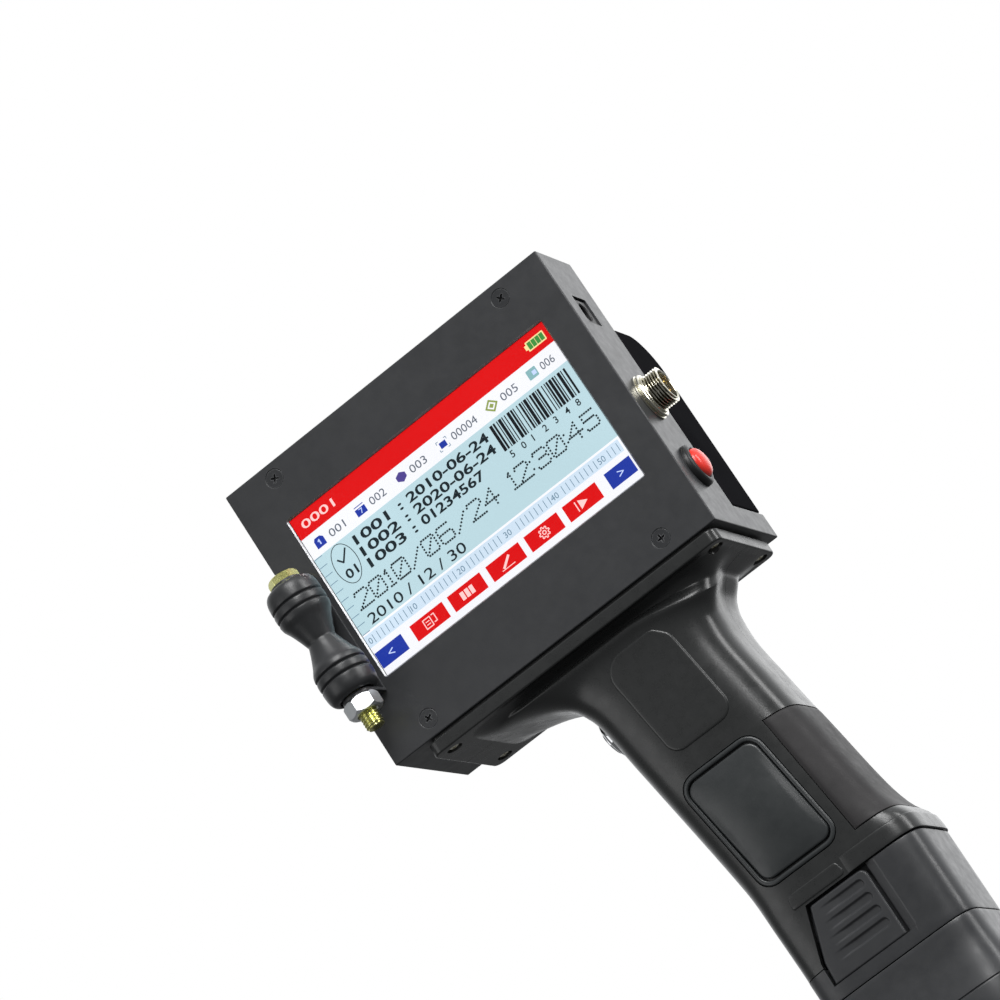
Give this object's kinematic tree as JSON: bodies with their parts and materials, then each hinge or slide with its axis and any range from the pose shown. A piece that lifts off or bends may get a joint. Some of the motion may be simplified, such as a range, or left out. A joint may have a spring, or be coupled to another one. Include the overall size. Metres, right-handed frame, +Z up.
{
  "type": "handheld inkjet printer",
  "caption": "Handheld inkjet date coder with a pistol grip: thin screen box with a cartridge bay behind it, guide roller at the print end, battery in the handle.",
  "frame": {"origin": "centre of the battery foot's underside", "axes": "+Z up along the handle, the screen faces -Y, the print end faces -X and the sockets face +X"},
  "size_m": [0.1308, 0.0716, 0.2574],
  "materials": {
    "shell_paint": "satin powder coat",
    "chassis_paint": "satin",
    "screen_glass": "clear",
    "display": "glossy display",
    "pcb": "solder mask",
    "components": "matte",
    "black_plastic": "matte",
    "gloss_black": "glossy",
    "nickel": "nickel plate",
    "zinc_yellow": "yellow zinc plate",
    "zinc_white": "white zinc plate",
    "black_steel": "black oxide",
    "steel": "plain",
    "gold": "plated",
    "red_cap": "glossy",
    "roller_rubber": "satin",
    "cover_abs": "semi-gloss",
    "grip_abs": "semi-gloss",
    "grip_rubber": "matte",
    "chrome": "polished",
    "aluminium": "turned",
    "tyre": "ground rubber",
    "battery_abs": "fine grain",
    "cell_wrap": "shrink sleeve",
    "cartridge_plastic": "matte",
    "cable": "sleeve"
  },
  "bodies": {
    "printer_frame": {"front_shell": "shell_paint", "rear_chassis": "chassis_paint", "front_screws": "black_steel", "touch_glass": "screen_glass", "lcd_module": "display", "main_board": "pcb", "board_components": "components", "board_standoffs": "steel", "dc_jack": "black_plastic", "connector_shell": "nickel", "connector_lock_nut": "nickel", "connector_insert": "black_plastic", "connector_pins": "gold", "power_button_bezel": "gloss_black", "power_button_spring": "steel", "roller_bracket": "black_steel", "roller_bracket_screws": "black_steel", "roller_bolt": "zinc_yellow", "roller_nut": "zinc_white", "encoder_bracket": "chassis_paint", "encoder_screws": "black_steel", "encoder_body": "black_plastic", "muzzle_plate": "cover_abs", "cartridge_cradle": "black_plastic", "contact_board": "gold", "cartridge_body": "cartridge_plastic", "cartridge_cap": "gloss_black", "nozzle_plate": "gold", "hinge_pins": "steel", "latch_pin": "steel", "grip_shell_front": "grip_abs", "grip_shell_rear": "grip_abs", "grip_flange_screws": "black_steel", "grip_shell_screws": "black_steel", "grip_pad_front": "grip_rubber", "grip_pad_rear": "grip_rubber", "grip_back_strap": "grip_rubber", "trigger_bezel": "chrome", "trigger_spring": "steel", "trigger_switch": "black_plastic", "terminal_block": "black_plastic", "terminal_springs": "gold", "power_cable": "cable"},
    "guide_roller_body": {"guide_roller": "roller_rubber"},
    "encoder_rotor": {"encoder_shaft": "steel", "encoder_wheel": "aluminium", "encoder_tyre": "tyre"},
    "power_cap": {"power_button_cap": "red_cap"},
    "trigger_plunger": {"trigger_cap": "chrome"},
    "battery_pack": {"battery_case": "battery_abs", "battery_foot": "battery_abs", "battery_cells": "cell_wrap", "battery_board": "pcb", "battery_contacts": "gold"},
    "latch_front": {"battery_latch_front": "battery_abs"},
    "latch_rear": {"battery_latch_rear": "battery_abs"},
    "door": {"cartridge_door": "cover_abs"},
    "cartridge_lever": {"cartridge_latch": "black_plastic"}
  },
  "joints": [
    {"name": "guide_roller_spin", "type": "hinge", "parent": "printer_frame", "child": "guide_roller_body", "pos_m": [-0.0803, -0.0342, 0.2005], "axis": [0, 0, 1], "continuous": true},
    {"name": "encoder_spin", "type": "hinge", "parent": "printer_frame", "child": "encoder_rotor", "pos_m": [-0.0788, 0.0165, 0.2414], "axis": [0, 0, 1], "continuous": true},
    {"name": "power_button_press", "type": "slide", "parent": "printer_frame", "child": "power_cap", "axis": [-1, 0, 0], "range_m": [0, 0.0018], "deforming": ["power_button_spring"]},
    {"name": "trigger_press", "type": "slide", "parent": "printer_frame", "child": "trigger_plunger", "axis": [0.9889, 0, 0.1483], "range_m": [0, 0.0015], "deforming": ["trigger_spring"]},
    {"name": "battery_slide", "type": "slide", "parent": "printer_frame", "child": "battery_pack", "axis": [0.1483, 0, -0.9889], "range_m": [0, 0.07]},
    {"name": "latch_front_press", "type": "hinge", "parent": "battery_pack", "child": "latch_front", "pos_m": [0, -0.0172, 0.034], "axis": [-1, 0, 0], "range_deg": [0, 4]},
    {"name": "latch_rear_press", "type": "hinge", "parent": "battery_pack", "child": "latch_rear", "pos_m": [0, 0.0172, 0.034], "axis": [1, 0, 0], "range_deg": [0, 4]},
    {"name": "door_open", "type": "hinge", "parent": "printer_frame", "child": "door", "pos_m": [-0.025, 0.027, 0.1704], "axis": [-1, 0, 0], "range_deg": [0, 110]},
    {"name": "cartridge_latch_turn", "type": "hinge", "parent": "printer_frame", "child": "cartridge_lever", "pos_m": [0.007, 0.0125, 0.21], "axis": [0, -1, 0], "range_deg": [0, 45]}
  ]
}
